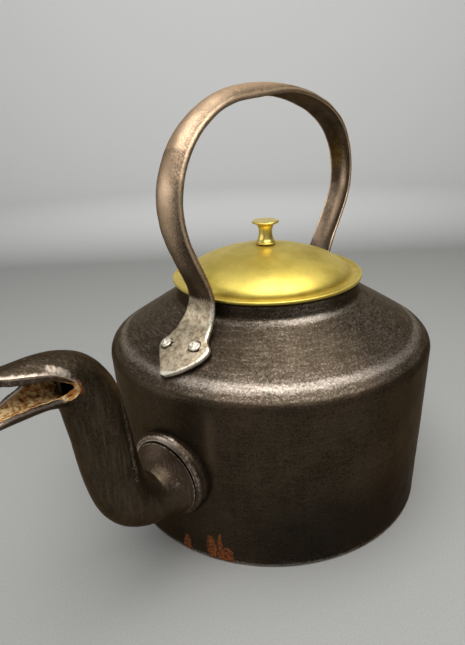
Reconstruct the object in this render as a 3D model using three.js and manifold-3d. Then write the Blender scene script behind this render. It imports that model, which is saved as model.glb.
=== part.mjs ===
// Cast-iron stove kettle: cast body, swan-neck spout with an open beak, riveted strap handle, brass lid.
// Millimetres, +Z up. Origin: centre of the flat base. The spout points along +X, the handle lies in Y = 0.
import * as THREE from 'three';
import { mergeVertices } from 'three/addons/utils/BufferGeometryUtils.js';
import Module from 'manifold-3d';

const wasm = await Module();
wasm.setup();

// ---------------------------------------------------------------- driving dimensions

const GAP = 0.3; // clearance kept between two pieces that touch

const BODY = {
  baseRadius: 106.3,
  baseEdge: 1.5,
  shoulderRadius: 109.3, // where wall line and cone line cross
  shoulderZ: 113.2,
  shoulderRoll: 8,
  neckRadius: 61.6,
  neckFillet: 3.5,
  neckTopZ: 151.8,
  neckLip: 2.4,
  neckBoreRadius: 56.3,
  wall: 3.6,
  floor: 4,
};

const CONE_SLOPE = 0.6235; // drop of the shoulder cone for each millimetre of radius
const CONE_ANGLE = Math.atan(CONE_SLOPE);

const SPOUT = {
  rootZ: 60,
  spigotRadius: 19.5,
  spigotBore: 15.5,
  innerEndX: 101.5,
  shoulderX: 115.1, // where the spout leaves its collar
  shoulderRadius: 22.4,
  tipX: 214,
  tipRadius: 11.5,
  wall: 3.1,
};

const COLLAR = { outerRadius: 27.4, faceRadius: 23.2, faceX: 114.8 };

const STRAP = {
  halfWidth: 8.65,
  edgeThickness: 3.2,
  crown: 3.2, // how far the middle of the strap bows outwards
  grip: { x: 18, reach: 32, crown: 2.8 }, // where the strap is arched more deeply
  footThickness: 4,
  footHalfWidth: 17.2,
  footTip: 102.2, // X distance of each foot's tip from the kettle's axis
  footReach: 88, // radius of the cone under the middle of each foot
  footLift: 0.45, // gap under the foot's middle line
};

const RIVET = {
  radius: 2.5,
  headRadius: 3.3,
  headHeight: 1.3,
  tailRadius: 3.9,
  tailHeight: 1.3,
  frontLeft: [83.2, 5.2], // where each rivet's axis meets the cone, in X and Y
  frontRight: [84.9, -14.2],
  rearLeft: [-83.8, 9.8],
  rearRight: [-83.8, -9.8],
};

const LID = {
  rimRadius: 63.45,
  rimBottomZ: 152.15,
  rimTopZ: 154.9,
  creaseRadius: 55.5,
  creaseZ: 154,
  domeRise: 19.5,
  domePower: 1.42, // how flat the middle of the dome is
  domeEase: 0.55, // how steeply the dome leaves the crease
  sheet: 1.2,
  studHole: 2.9,
};

const SKIRT = { radius: 55.1, sheet: 1.1, bottomZ: 144 };

const KNOB = {
  discRadius: 9.1,
  discHeight: 14.2, // from the seat to the disc's edge
  neckRadius: 4.4,
  footRadius: 6.8,
  studRadius: 2.6,
};

const WASHER = { radius: 6.5, thickness: 0.8 };

// ---------------------------------------------------------------- materials

const castIron = new THREE.MeshStandardMaterial({ color: 0x3a332d, roughness: 0.55, metalness: 0.7 });
const spoutIron = new THREE.MeshStandardMaterial({ color: 0x45403a, roughness: 0.5, metalness: 0.7 });
const wroughtIron = new THREE.MeshStandardMaterial({ color: 0x5c5046, roughness: 0.45, metalness: 0.8 });
const rivetIron = new THREE.MeshStandardMaterial({ color: 0xa8a294, roughness: 0.4, metalness: 0.85 });
const brass = new THREE.MeshStandardMaterial({ color: 0xb09a45, roughness: 0.35, metalness: 0.9 });
const brightBrass = new THREE.MeshStandardMaterial({ color: 0xc8a648, roughness: 0.25, metalness: 0.95 });

// ---------------------------------------------------------------- solids

// A closed surface with only positions, shared vertices merged and its faces pointing out.
function closedSurface(geometry) {
  const bare = new THREE.BufferGeometry();
  bare.setAttribute('position', geometry.getAttribute('position'));
  bare.setIndex(geometry.getIndex());
  const merged = mergeVertices(bare, 1e-4);
  const position = merged.getAttribute('position');
  const index = merged.getIndex();
  const corner = [new THREE.Vector3(), new THREE.Vector3(), new THREE.Vector3()];
  const kept = [];
  let volume = 0;
  for (let i = 0; i < index.count; i += 3) {
    const triangle = [index.getX(i), index.getX(i + 1), index.getX(i + 2)];
    if (new Set(triangle).size < 3) continue;
    triangle.forEach((vertex, k) => corner[k].fromBufferAttribute(position, vertex));
    volume += corner[0].dot(corner[1].clone().cross(corner[2]));
    kept.push(triangle);
  }
  const outward = volume > 0 ? kept : kept.map(([a, b, c]) => [a, c, b]);
  merged.setIndex(outward.flat());
  return merged;
}

function toManifold(geometry) {
  const surface = closedSurface(geometry);
  return new wasm.Manifold(new wasm.Mesh({
    numProp: 3,
    vertProperties: new Float32Array(surface.getAttribute('position').array),
    triVerts: new Uint32Array(surface.getIndex().array),
  }));
}

function fromManifold(manifold) {
  const mesh = manifold.getMesh();
  const geometry = new THREE.BufferGeometry();
  geometry.setAttribute('position', new THREE.BufferAttribute(new Float32Array(mesh.vertProperties), 3));
  geometry.setIndex([...mesh.triVerts]);
  return geometry;
}

function cut(geometry, ...tools) {
  return fromManifold(tools.reduce((left, tool) => left.subtract(toManifold(tool)), toManifold(geometry)));
}

// A profile of [radius, z] points turned about the Z axis.
function turned(profile, segments) {
  const points = profile.map(([radius, z]) => new THREE.Vector2(radius, z));
  return new THREE.LatheGeometry(points, segments).rotateX(Math.PI / 2);
}

// A closed solid through a list of rings that all have the same number of points.
function loft(rings) {
  const count = rings[0].length;
  const vertices = rings.flat();
  const triangles = [];
  for (let i = 0; i + 1 < rings.length; i += 1) {
    for (let j = 0; j < count; j += 1) {
      const a = i * count + j;
      const b = i * count + ((j + 1) % count);
      triangles.push(a, b, b + count, a, b + count, a + count);
    }
  }
  [0, rings.length - 1].forEach((end) => {
    const middle = new THREE.Vector3();
    rings[end].forEach((point) => middle.addScaledVector(point, 1 / count));
    const centre = vertices.push(middle) - 1;
    for (let j = 0; j < count; j += 1) {
      const a = end * count + j;
      const b = end * count + ((j + 1) % count);
      triangles.push(...(end === 0 ? [centre, b, a] : [centre, a, b]));
    }
  });
  const geometry = new THREE.BufferGeometry().setFromPoints(vertices);
  geometry.setIndex(triangles);
  return geometry;
}

// Points of an arc in a profile, angles in degrees from the +radius direction towards +z.
function arc(centreRadius, centreZ, radius, fromDegrees, toDegrees, steps) {
  return Array.from({ length: steps + 1 }, (_, i) => {
    const angle = THREE.MathUtils.degToRad(fromDegrees + ((toDegrees - fromDegrees) * i) / steps);
    return [centreRadius + radius * Math.cos(angle), centreZ + radius * Math.sin(angle)];
  });
}

// The corners of a polyline of [radius, z] points rounded off by the radius given as third value.
function rounded(corners, steps) {
  const out = [];
  corners.forEach(([x, z, radius], i) => {
    if (!radius) {
      out.push([x, z]);
      return;
    }
    const at = new THREE.Vector2(x, z);
    const back = new THREE.Vector2(...corners[i - 1].slice(0, 2)).sub(at).normalize();
    const ahead = new THREE.Vector2(...corners[i + 1].slice(0, 2)).sub(at).normalize();
    const halfAngle = Math.acos(THREE.MathUtils.clamp(back.dot(ahead), -1, 1)) / 2;
    const reach = radius / Math.tan(halfAngle);
    const centre = back.clone().add(ahead).normalize();
    centre.multiplyScalar(radius / Math.sin(halfAngle)).add(at);
    const first = at.clone().addScaledVector(back, reach).sub(centre);
    const last = at.clone().addScaledVector(ahead, reach).sub(centre);
    const start = first.angle();
    const turn = THREE.MathUtils.euclideanModulo(last.angle() - start + Math.PI, 2 * Math.PI) - Math.PI;
    for (let k = 0; k <= steps; k += 1) {
      const angle = start + (turn * k) / steps;
      out.push([centre.x + radius * Math.cos(angle), centre.y + radius * Math.sin(angle)]);
    }
  });
  return out;
}

// Linear interpolation in a short list of [at, value] pairs.
function along(stations, at) {
  const next = stations.findIndex(([position]) => position >= at);
  if (next < 0) return stations[stations.length - 1][1];
  if (next === 0) return stations[0][1];
  const [from, low] = stations[next - 1];
  const [to, high] = stations[next];
  return low + ((high - low) * (at - from)) / (to - from);
}

// ---------------------------------------------------------------- body

function wallRadius(z) {
  return BODY.baseRadius + ((BODY.shoulderRadius - BODY.baseRadius) * z) / BODY.shoulderZ;
}

function coneZ(radius) {
  return BODY.shoulderZ + (BODY.shoulderRadius - radius) * CONE_SLOPE;
}

// The point of the cone's outer face over (x, y), with the face's normal there.
function onCone(x, y) {
  const radius = Math.hypot(x, y);
  const azimuth = Math.atan2(y, x);
  const normal = new THREE.Vector3(
    Math.sin(CONE_ANGLE) * Math.cos(azimuth),
    Math.sin(CONE_ANGLE) * Math.sin(azimuth),
    Math.cos(CONE_ANGLE),
  );
  return { point: new THREE.Vector3(x, y, coneZ(radius)), normal };
}

function bodyShell() {
  const { wall, neckTopZ, neckLip } = BODY;
  const outer = rounded([
    [0, 0],
    [BODY.baseRadius, 0, BODY.baseEdge],
    [BODY.shoulderRadius, BODY.shoulderZ, BODY.shoulderRoll],
    [BODY.neckRadius, coneZ(BODY.neckRadius), BODY.neckFillet],
    [BODY.neckRadius, neckTopZ, neckLip],
    [BODY.neckBoreRadius, neckTopZ, 0.8],
    [BODY.neckBoreRadius, coneZ(BODY.neckBoreRadius) - wall / Math.cos(CONE_ANGLE)],
    [BODY.shoulderRadius - wall, BODY.shoulderZ - wall * 0.555, BODY.shoulderRoll - wall],
    [BODY.baseRadius - wall, BODY.floor, 3],
    [0, BODY.floor],
  ], 3);
  return turned(outer, 56);
}

function hole(radius, centre, direction, reach) {
  const turn = new THREE.Quaternion().setFromUnitVectors(new THREE.Vector3(0, 1, 0), direction);
  return new THREE.CylinderGeometry(radius, radius, 2 * reach, 24)
    .applyQuaternion(turn)
    .translate(centre.x, centre.y, centre.z);
}

const xAxis = new THREE.Vector3(1, 0, 0);
const spoutHole = hole(SPOUT.spigotRadius + GAP, new THREE.Vector3(106, 0, SPOUT.rootZ), xAxis, 12);

// ---------------------------------------------------------------- spout

// Middle line of the spout in the plane Y = 0, from inside the wall to the tip.
const spoutLine = new THREE.CatmullRomCurve3([
  [SPOUT.innerEndX, 60], [112, 60], [121, 56.6], [131, 57], [140.6, 63.2], [147.5, 74], [151.2, 89],
  [153.4, 105], [155.7, 122], [159, 137.5], [166, 147.7], [178, 152.8], [194, 154.6], [SPOUT.tipX, 155.8],
].map(([x, z]) => new THREE.Vector3(x, 0, z)), false, 'centripetal');

// Outer radius of the spout by the height or reach of its middle line, as [x, radius] pairs.
const rootFlare = [
  [SPOUT.shoulderX, SPOUT.shoulderRadius], [118, 20.4], [122, 17.6], [127, 15.7], [134, 15.2],
];
const neckTaper = [
  [134, 15.2], [151, 14.9], [157, 14.6], [160, 14], [168, 13.1], [180, 12.6], [194, 12.1],
  [SPOUT.tipX, SPOUT.tipRadius],
];

function spoutRadius(x) {
  return x < 134 ? along(rootFlare, x) : along(neckTaper, x);
}

function ringAbout(centre, tangent, radius, count) {
  const side = new THREE.Vector3(0, 1, 0);
  const up = new THREE.Vector3().crossVectors(tangent, side).normalize();
  return Array.from({ length: count }, (_, i) => {
    const angle = (2 * Math.PI * i) / count;
    return centre.clone()
      .addScaledVector(side, radius * Math.cos(angle))
      .addScaledVector(up, radius * Math.sin(angle));
  });
}

function tubeRings(radiusAt, fromX, count) {
  const steps = 34;
  const rings = [];
  for (let i = 0; i <= steps; i += 1) {
    const point = spoutLine.getPointAt(i / steps);
    if (point.x < fromX) continue;
    // Rings stay upright where the line dips behind the collar, so that they don't cross each other.
    const heading = spoutLine.getTangentAt(i / steps);
    heading.z = Math.max(heading.z, 0);
    rings.push(ringAbout(point, heading.normalize(), radiusAt(point.x), count));
  }
  return rings;
}

// The spigot in the wall, a flat shoulder against the collar, and the tube itself.
function spoutBlank() {
  const sides = 24;
  const atRoot = (x, radius) => ringAbout(new THREE.Vector3(x, 0, SPOUT.rootZ), xAxis, radius, sides);
  return loft([
    atRoot(SPOUT.innerEndX, SPOUT.spigotRadius),
    atRoot(SPOUT.shoulderX, SPOUT.spigotRadius),
    atRoot(SPOUT.shoulderX, SPOUT.shoulderRadius - 0.8),
    atRoot(SPOUT.shoulderX + 0.8, SPOUT.shoulderRadius),
    ...tubeRings(spoutRadius, SPOUT.shoulderX + 2, sides),
  ]);
}

function spoutBore() {
  const sides = 20;
  const boreRadius = (x) => Math.min(SPOUT.spigotBore, spoutRadius(x) - SPOUT.wall);
  const rings = tubeRings(boreRadius, SPOUT.innerEndX, sides);
  const start = new THREE.Vector3(SPOUT.innerEndX - 2, 0, SPOUT.rootZ);
  const end = spoutLine.getPointAt(1).addScaledVector(spoutLine.getTangentAt(1), 2);
  return loft([
    ringAbout(start, xAxis, SPOUT.spigotBore, sides),
    ...rings,
    ringAbout(end, spoutLine.getTangentAt(1), boreRadius(SPOUT.tipX), sides),
  ]);
}

// A cutter for one side of the beak: an outline in X and Z, carried out sideways from the plane Y = 0.
function beakCutter(heel, lowerLip, upperLip, side) {
  const outline = new THREE.Shape();
  outline.moveTo(...heel);
  outline.splineThru(lowerLip.map(([x, z]) => new THREE.Vector2(x, z)));
  outline.lineTo(230, 140);
  outline.lineTo(230, 180);
  outline.lineTo(upperLip[0][0], 180);
  outline.lineTo(...upperLip[0]);
  outline.splineThru(upperLip.slice(1).map(([x, z]) => new THREE.Vector2(x, z)));
  outline.lineTo(...heel);
  const reach = 30;
  return new THREE.ExtrudeGeometry(outline, { depth: reach, bevelEnabled: false, curveSegments: 5 })
    .rotateX(Math.PI / 2)
    .translate(0, side > 0 ? reach : 0, 0);
}

const beakLeft = beakCutter(
  [170.6, 149.4],
  [[172.4, 145.8], [181, 144.4], [191, 147.3], [203, 148.4], [210, 147], [213.5, 143]],
  [[206.5, 168], [201, 165.6], [190, 162.7], [180, 159.4], [173.4, 154.2]],
  1,
);
const beakRight = beakCutter(
  [182.6, 151.4],
  [[184.6, 149.9], [191, 148.7], [198, 147.3], [206, 145.6], [213.5, 143.5]],
  [[207.5, 170], [203, 163.5], [198, 158.6], [191, 155.2], [185, 153.2]],
  -1,
);

function spoutGeometry() {
  return cut(spoutBlank(), spoutBore(), beakLeft, beakRight);
}

// A turned ring around the spigot, hollowed where it lies against the kettle's round wall.
function collarGeometry() {
  const { outerRadius, faceRadius, faceX } = COLLAR;
  const bore = SPOUT.spigotRadius + GAP;
  const profile = [
    [bore, 100], [outerRadius, 100], [outerRadius, 109.6],
    ...arc(faceRadius - 0.4, faceX - 4.2, 4.2, 10, 82, 5),
    [bore, faceX], [bore, 100],
  ];
  const ring = turned(profile, 40).rotateY(Math.PI / 2).translate(0, 0, SPOUT.rootZ);
  const wall = turned([
    [0, 10], [wallRadius(10) + GAP, 10], [wallRadius(110) + GAP, 110], [0, 110],
  ], 112);
  return cut(ring, wall);
}

// ---------------------------------------------------------------- handle

// The strap's middle line in the plane Y = 0, from the tip of the front foot to the tip of the rear foot.
const footOffset = STRAP.footLift + STRAP.footThickness / 2;

function footPoint(x) {
  const { point, normal } = onCone(x, 0);
  point.addScaledVector(normal, footOffset);
  return [point.x, point.z];
}

const strapLine = new THREE.CatmullRomCurve3([
  footPoint(STRAP.footTip), footPoint(90), footPoint(84), footPoint(79),
  [73.6, 140.6], [70.2, 147.5], [69.3, 155], [70.9, 162.5], [75.2, 171.5], [81.5, 183], [87.6, 196],
  [90.4, 209], [89.3, 221.5], [84, 233.5], [75, 244.8], [61, 254.7], [43, 262.2], [20, 266], [-4, 266.8],
  [-30, 264.9], [-56, 260], [-78, 252.8], [-96, 242.4], [-108, 229], [-114, 213], [-113.2, 197.5],
  [-106, 183.8], [-96, 171.6], [-86, 160], [-79.4, 151.5], [-75.4, 145.4], [-75, 140.4],
  footPoint(-79), footPoint(-84), footPoint(-90), footPoint(-STRAP.footTip),
].map(([x, z]) => new THREE.Vector3(x, 0, z)), false, 'centripetal');
strapLine.arcLengthDivisions = 800;

// Half width of the strap by the distance from the tip of its foot.
const footShape = [
  [0, 2.6], [1.2, 4.6], [9, 9.8], [18, 16], [20.5, STRAP.footHalfWidth], [23, 16.9], [26, 14.6], [30, 12.9],
  [37, 11.4], [48, 9.3], [58, STRAP.halfWidth],
];

// How far the front foot sits to the right of the middle plane, by the same distance.
const frontLean = [[0, -4.6], [20, -3.8], [30, -4], [38, -2.8], [50, -0.8], [58, 0]];

function strapSection(point, tangent, fromTip, lean) {
  const outward = new THREE.Vector3(tangent.z, 0, -tangent.x);
  const halfWidth = along(footShape, fromTip);
  const onFoot = 1 - THREE.MathUtils.smoothstep(fromTip, 26, 46);
  const nearFoot = 1 - THREE.MathUtils.smoothstep(fromTip, 80, 150);
  const crown = STRAP.crown * THREE.MathUtils.smoothstep(fromTip, 34, 80);
  const arch = STRAP.grip.crown * Math.exp(-(((point.x - STRAP.grip.x) / STRAP.grip.reach) ** 2)) * (1 - nearFoot);
  const half = THREE.MathUtils.lerp(STRAP.edgeThickness, STRAP.footThickness, onFoot) / 2;
  const sag = (onFoot * Math.sin(CONE_ANGLE)) / (2 * STRAP.footReach); // bends the foot round the cone
  const across = [-1, -0.55, 0, 0.55, 1];
  const edge = (fraction, face) => {
    const side = fraction * halfWidth;
    const bow = (crown + arch) * (1 - fraction * fraction) - arch - sag * (side + lean) ** 2;
    return point.clone()
      .addScaledVector(outward, bow + face * half)
      .add(new THREE.Vector3(0, side + lean, 0));
  };
  return [
    ...across.map((fraction) => edge(fraction, 1)),
    ...across.toReversed().map((fraction) => edge(fraction, -1)),
  ];
}

function strapBlank() {
  const steps = 76;
  const length = strapLine.getLength();
  const rings = [];
  for (let i = 0; i <= steps; i += 1) {
    // Stations crowd towards both feet, where the outline changes fastest.
    const even = i / steps;
    const at = even - 0.1 * Math.sin(2 * Math.PI * even);
    const front = at < 0.5;
    const fromTip = (front ? at : 1 - at) * length;
    const lean = front ? along(frontLean, fromTip) : 0;
    rings.push(strapSection(strapLine.getPointAt(at), strapLine.getTangentAt(at), fromTip, lean));
  }
  return loft(rings);
}

// ---------------------------------------------------------------- rivets

const rivetPlaces = [
  { name: 'handle_rivet_front_left', place: RIVET.frontLeft },
  { name: 'handle_rivet_front_right', place: RIVET.frontRight },
  { name: 'handle_rivet_rear_left', place: RIVET.rearLeft },
  { name: 'handle_rivet_rear_right', place: RIVET.rearRight },
].map(({ name, place }) => ({ name, ...onCone(...place) }));

function rivetHoles() {
  return rivetPlaces.map(({ point, normal }) => hole(RIVET.radius + GAP, point, normal, 14));
}

// Shank through foot and wall, a low hammered head outside and a closed head inside the kettle.
function rivetGeometry() {
  const headFrom = STRAP.footLift + STRAP.footThickness + GAP;
  const tailFrom = -BODY.wall - GAP;
  return turned([
    [0, tailFrom - RIVET.tailHeight],
    [RIVET.tailRadius * 0.7, tailFrom - RIVET.tailHeight],
    [RIVET.tailRadius, tailFrom - RIVET.tailHeight * 0.5],
    [RIVET.tailRadius, tailFrom],
    [RIVET.radius, tailFrom],
    [RIVET.radius, headFrom],
    [RIVET.headRadius, headFrom],
    [RIVET.headRadius, headFrom + RIVET.headHeight * 0.45],
    [RIVET.headRadius * 0.7, headFrom + RIVET.headHeight],
    [0, headFrom + RIVET.headHeight],
  ], 16);
}

// ---------------------------------------------------------------- lid

function domeZ(radius) {
  const share = Math.min(radius / LID.creaseRadius, 1);
  return LID.creaseZ + LID.domeRise * (1 - share ** LID.domePower) ** LID.domeEase;
}

function lidCover() {
  const steps = 9;
  const dome = Array.from({ length: steps + 1 }, (_, i) => {
    const radius = LID.studHole + (LID.creaseRadius - LID.studHole) * Math.sin((Math.PI / 2) * (i / steps));
    return [radius, domeZ(radius)];
  });
  const bead = (LID.rimTopZ - LID.rimBottomZ) / 2;
  const under = dome.map(([radius, z]) => {
    const inset = LID.sheet * (radius / LID.creaseRadius) ** 4;
    return [Math.max(radius - inset, LID.studHole), z - LID.sheet];
  });
  return turned([
    ...dome,
    [LID.creaseRadius + 2.2, LID.creaseZ + 0.2],
    ...arc(LID.rimRadius - bead, LID.rimBottomZ + bead, bead, 100, -90, 6),
    [LID.creaseRadius + 3.4, LID.rimBottomZ],
    [LID.creaseRadius + 2.4, LID.creaseZ - LID.sheet],
    ...under.toReversed(),
    dome[0],
  ], 48);
}

function lidSkirt() {
  const inner = SKIRT.radius - SKIRT.sheet;
  const topZ = LID.creaseZ - LID.sheet - GAP;
  return turned([
    [inner, SKIRT.bottomZ], [SKIRT.radius, SKIRT.bottomZ], [SKIRT.radius, topZ], [inner, topZ],
    [inner, SKIRT.bottomZ],
  ], 48);
}

const washerTopZ = domeZ(WASHER.radius) - LID.sheet - GAP;

function lidKnob() {
  const seatZ = domeZ(0) + GAP;
  const discZ = seatZ + KNOB.discHeight;
  const tailZ = washerTopZ - WASHER.thickness - GAP;
  return turned([
    [0, tailZ - 1.1], [2.4, tailZ - 1.1], [3.7, tailZ - 0.5], [3.7, tailZ - 0.1], [KNOB.studRadius, tailZ - 0.1],
    [KNOB.studRadius, seatZ],
    [KNOB.footRadius, seatZ], [KNOB.footRadius, seatZ + 0.5], [KNOB.footRadius - 0.5, seatZ + 0.9],
    [KNOB.neckRadius + 0.9, seatZ + 3.2], [KNOB.neckRadius + 0.25, seatZ + 5.6], [KNOB.neckRadius, seatZ + 8],
    [KNOB.neckRadius + 0.3, seatZ + 10.3], [KNOB.neckRadius + 1.2, seatZ + 12],
    [KNOB.discRadius - 0.7, discZ - 0.9], [KNOB.discRadius, discZ],
    [KNOB.discRadius - 0.4, discZ + 0.7], [KNOB.discRadius - 1.7, discZ + 1], [0, discZ + 0.8],
  ], 28);
}

function knobWasher() {
  const inner = LID.studHole;
  const bottomZ = washerTopZ - WASHER.thickness;
  return turned([
    [inner, bottomZ], [WASHER.radius, bottomZ], [WASHER.radius, washerTopZ], [inner, washerTopZ],
    [inner, bottomZ],
  ], 24);
}

// ---------------------------------------------------------------- assembly

const kettle = new THREE.Group();

function add(name, geometry, material) {
  const surface = closedSurface(geometry);
  surface.computeVertexNormals();
  const mesh = new THREE.Mesh(surface, material);
  mesh.name = name;
  kettle.add(mesh);
  return mesh;
}

add('kettle_body', cut(bodyShell(), spoutHole, ...rivetHoles()), castIron);
add('spout_collar', collarGeometry(), spoutIron);
add('spout', spoutGeometry(), spoutIron);
add('handle_strap', cut(strapBlank(), ...rivetHoles()), wroughtIron);

rivetPlaces.forEach(({ name, point, normal }) => {
  const rivet = add(name, rivetGeometry(), rivetIron);
  rivet.position.copy(point);
  rivet.quaternion.setFromUnitVectors(new THREE.Vector3(0, 0, 1), normal);
});

add('lid_cover', lidCover(), brass);
add('lid_locating_ring', lidSkirt(), brass);
add('lid_knob', lidKnob(), brightBrass);
add('knob_washer', knobWasher(), brass);

export default kettle;
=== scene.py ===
"""Cast-iron stove kettle with a brass lid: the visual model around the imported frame.

Shapes are worked out in millimetres and become metres when a piece is made.
+Z is up, the spout points along +X and the handle lies in the plane Y = 0.
"""

import math

import bmesh
import bpy
import numpy as np
from mathutils import Matrix, Vector, noise


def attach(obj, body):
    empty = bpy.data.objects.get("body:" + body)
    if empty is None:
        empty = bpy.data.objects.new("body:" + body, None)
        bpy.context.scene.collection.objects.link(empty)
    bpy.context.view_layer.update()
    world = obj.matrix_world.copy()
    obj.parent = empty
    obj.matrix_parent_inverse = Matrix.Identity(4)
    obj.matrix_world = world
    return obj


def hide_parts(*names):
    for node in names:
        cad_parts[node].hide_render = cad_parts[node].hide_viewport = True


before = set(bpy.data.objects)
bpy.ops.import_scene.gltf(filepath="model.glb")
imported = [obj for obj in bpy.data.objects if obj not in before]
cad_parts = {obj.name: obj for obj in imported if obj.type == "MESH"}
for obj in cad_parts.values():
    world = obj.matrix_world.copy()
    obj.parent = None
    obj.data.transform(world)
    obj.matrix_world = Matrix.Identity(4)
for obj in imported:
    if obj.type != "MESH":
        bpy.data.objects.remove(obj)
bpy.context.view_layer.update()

MM = 0.001
KETTLE, LID = "kettle", "lid"

# ---- shared dimensions, millimetres

BASE_RADIUS = 106.3
SHOULDER_RADIUS = 109.3
SHOULDER_Z = 113.2
CONE_SLOPE = 0.6235
CONE_ANGLE = math.atan(CONE_SLOPE)
NECK_RADIUS = 61.6
NECK_TOP_Z = 151.8
WALL = 3.6
GAP = 0.3

SPOUT_ROOT_Z = 60.0
SPIGOT_RADIUS = 19.5
SPOUT_SEAT_X = 114.7
SPOUT_WALL = 3.1
WIDEST_BORE = 15.5
SPOUT_COLUMNS = 96

FOOT_TIP_X = 102.2
FOOT_LIFT = 0.45
FOOT_THICKNESS = 4.0
STRAP_HALF_WIDTH = 8.65
FOOT_REACH = 88.0
RIVET_PLACES = {
    "handle_rivet_front_left": (83.2, 5.2),
    "handle_rivet_front_right": (84.9, -14.2),
    "handle_rivet_rear_left": (-83.8, 9.8),
    "handle_rivet_rear_right": (-83.8, -9.8),
}

LID_CREASE_RADIUS = 55.5
LID_CREASE_Z = 154.0
LID_SHEET = 1.2
LID_HOLE = 2.9
WASHER_THICKNESS = 0.8
WASHER_RADIUS = 6.5


# ---- small mathematics

def smoothstep(low, high, x):
    t = np.clip((np.asarray(x, float) - low) / (high - low), 0, 1)
    return t * t * (3 - 2 * t)


def bell(x, centre, width):
    return np.exp(-(((np.asarray(x, float) - centre) / width) ** 2))


def wobble(points, size, seed=0.0):
    """Smooth noise between about -1 and 1 at each point, with features of the given size."""
    shift = Vector((seed, 2.3 * seed, -1.7 * seed))
    return np.array([noise.noise(Vector(p) / size + shift) for p in points]) * 1.6


def unit(vectors):
    return vectors / np.maximum(np.linalg.norm(vectors, axis=-1, keepdims=True), 1e-9)


def catmull_rom(points, per_span=30):
    """A centripetal Catmull-Rom curve through the points, as many short steps."""
    p = np.asarray(points, float)
    p = np.vstack([2 * p[0] - p[1], p, 2 * p[-1] - p[-2]])
    knots = np.linalg.norm(np.diff(p, axis=0), axis=1) ** 0.5
    t = np.linspace(0, 1, per_span, endpoint=False)[:, None]
    out = []
    for i in range(1, len(p) - 2):
        before, here, after = knots[i - 1], knots[i], knots[i + 1]
        ahead = (p[i + 1] - p[i]) / here
        start = (p[i] - p[i - 1]) / before - (p[i + 1] - p[i - 1]) / (before + here) + ahead
        stop = ahead - (p[i + 2] - p[i]) / (here + after) + (p[i + 2] - p[i + 1]) / after
        m0, m1 = start * here, stop * here
        out.append(
            (2 * t**3 - 3 * t**2 + 1) * p[i] + (t**3 - 2 * t**2 + t) * m0
            + (3 * t**2 - 2 * t**3) * p[i + 1] + (t**3 - t**2) * m1
        )
    return np.vstack([*out, p[-2:-1]])


def evenly(points, step):
    """The same path in equal steps: places, directions and the length up to each place."""
    lengths = np.concatenate([[0], np.cumsum(np.linalg.norm(np.diff(points, axis=0), axis=1))])
    at = np.linspace(0, lengths[-1], round(lengths[-1] / step) + 1)
    places = np.stack([np.interp(at, lengths, points[:, k]) for k in range(points.shape[1])], axis=1)
    return places, unit(np.gradient(places, axis=0)), at


def blurred(values, width):
    """Values smoothed along their order, ends held."""
    reach = max(1, math.ceil(3 * width))
    kernel = bell(np.arange(-reach, reach + 1), 0, width * math.sqrt(2))
    padded = np.concatenate([np.full(reach, values[0]), values, np.full(reach, values[-1])])
    return np.convolve(padded, kernel / kernel.sum(), mode="valid")


def stations(at, pairs, blur_steps):
    """A quantity given as a short list of (place, value), eased between its stations."""
    return blurred(np.interp(at, *zip(*pairs)), blur_steps)


def rounded(corners, steps):
    """Corners (x, z, radius) of an outline, with each corner that has a radius turned into an arc."""
    out = []
    for i, corner in enumerate(corners):
        at = np.array(corner[:2], float)
        radius = corner[2] if len(corner) > 2 else 0
        if not radius:
            out.append(at)
            continue
        back = unit(np.array(corners[i - 1][:2], float) - at)
        ahead = unit(np.array(corners[i + 1][:2], float) - at)
        half = math.acos(np.clip(back @ ahead, -1, 1)) / 2
        centre = at + unit(back + ahead) * radius / math.sin(half)
        first = at + back * radius / math.tan(half) - centre
        last = at + ahead * radius / math.tan(half) - centre
        start = math.atan2(first[1], first[0])
        turn = (math.atan2(last[1], last[0]) - start + math.pi) % (2 * math.pi) - math.pi
        for angle in start + turn * np.linspace(0, 1, steps + 1):
            out.append(centre + radius * np.array([math.cos(angle), math.sin(angle)]))
    return np.array(out)


def divided(outline, longest):
    """The outline with every stretch cut into pieces no longer than the given length."""
    out = [outline[:1]]
    for a, b in zip(outline[:-1], outline[1:]):
        pieces = max(1, math.ceil(np.linalg.norm(b - a) / longest))
        out.append(a + (b - a) * (np.arange(1, pieces + 1) / pieces)[:, None])
    return np.vstack(out)


def wall_radius(z):
    return BASE_RADIUS + (SHOULDER_RADIUS - BASE_RADIUS) * z / SHOULDER_Z


def cone_z(radius):
    return SHOULDER_Z + (SHOULDER_RADIUS - radius) * CONE_SLOPE


def on_cone(x, y):
    """The point of the shoulder cone over (x, y) and the cone's normal there."""
    radius = math.hypot(x, y)
    sideways = math.sin(CONE_ANGLE) / radius
    normal = np.array([sideways * x, sideways * y, math.cos(CONE_ANGLE)])
    return np.array([x, y, cone_z(radius)]), normal


# ---- meshes

def band(first, second, columns):
    """Quads that join two rings of vertices, each given by its first vertex."""
    steps = [(j, (j + 1) % columns) for j in range(columns)]
    return [(first + a, first + b, second + b, second + a) for a, b in steps]


def grid_faces(rows, columns):
    """Quads of a grid of vertices that closes round, ring after ring."""
    return [face for i in range(rows - 1) for face in band(i * columns, (i + 1) * columns, columns)]


def end_faces(rows, columns):
    """The two flat ends of such a grid."""
    return [tuple(range(columns - 1, -1, -1)), tuple(range((rows - 1) * columns, rows * columns))]


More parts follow.
